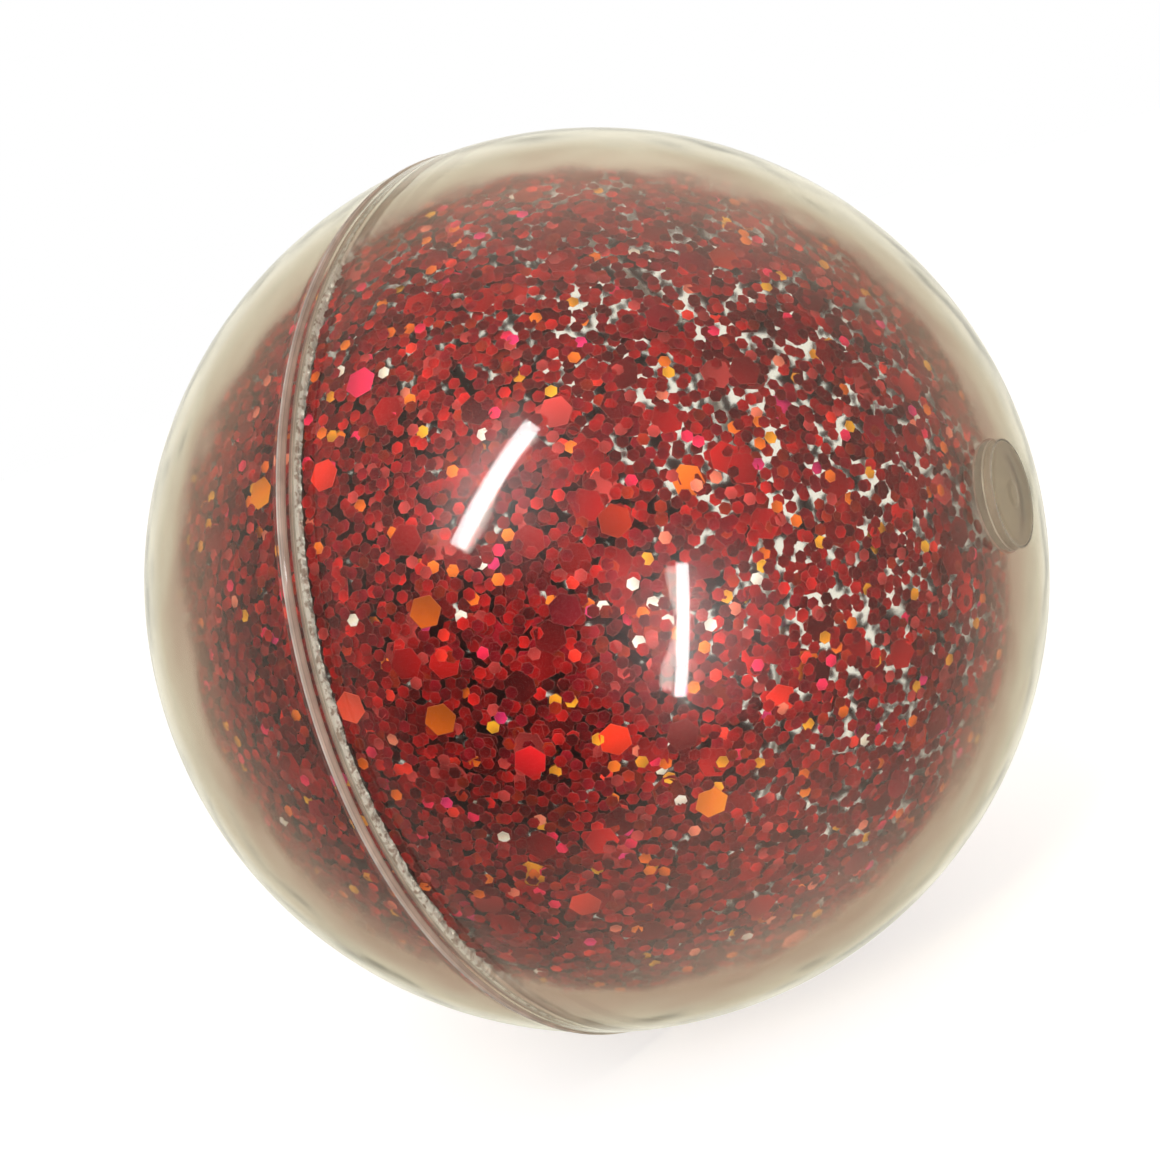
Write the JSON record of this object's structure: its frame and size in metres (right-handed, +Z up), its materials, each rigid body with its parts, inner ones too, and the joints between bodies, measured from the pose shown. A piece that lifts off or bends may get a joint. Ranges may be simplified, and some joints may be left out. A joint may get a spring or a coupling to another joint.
{
  "type": "bouncy ball",
  "caption": "Clear hollow ball of soft plastic that bounces, moulded in bonded halves with a fill plug, its inside wall lined with loose hexagonal foil flakes.",
  "frame": {"origin": "centre of the ball", "axes": "+X along the fill plug's axis and out through the plug, +Z up, the seam in a plane across X"},
  "size_m": [0.0749, 0.0752, 0.0752],
  "materials": {
    "clear_wall": "clear flexible plastic, glossy, with a faint ivory tint",
    "plug_plastic": "the same clear plastic, slightly hazy",
    "adhesive": "set adhesive, whitish and crumbly where it has squeezed out",
    "red_foil": "metallised holographic polyester foil, red",
    "bright_foil": "metallised holographic polyester foil, red with orange and pink flashes"
  },
  "bodies": {
    "shell": {"plain_half_shell": "clear_wall", "plug_half_shell": "clear_wall", "seam_adhesive": "adhesive", "fill_plug": "plug_plastic", "plug_adhesive": "adhesive"},
    "flake_layer": {"small_flakes": "red_foil", "large_flakes": "bright_foil"}
  },
  "joints": [
    {"name": "flake_layer_turn", "type": "hinge", "parent": "shell", "child": "flake_layer", "pos_m": [0, 0, 0], "axis": [1, 0, 0], "continuous": true}
  ]
}
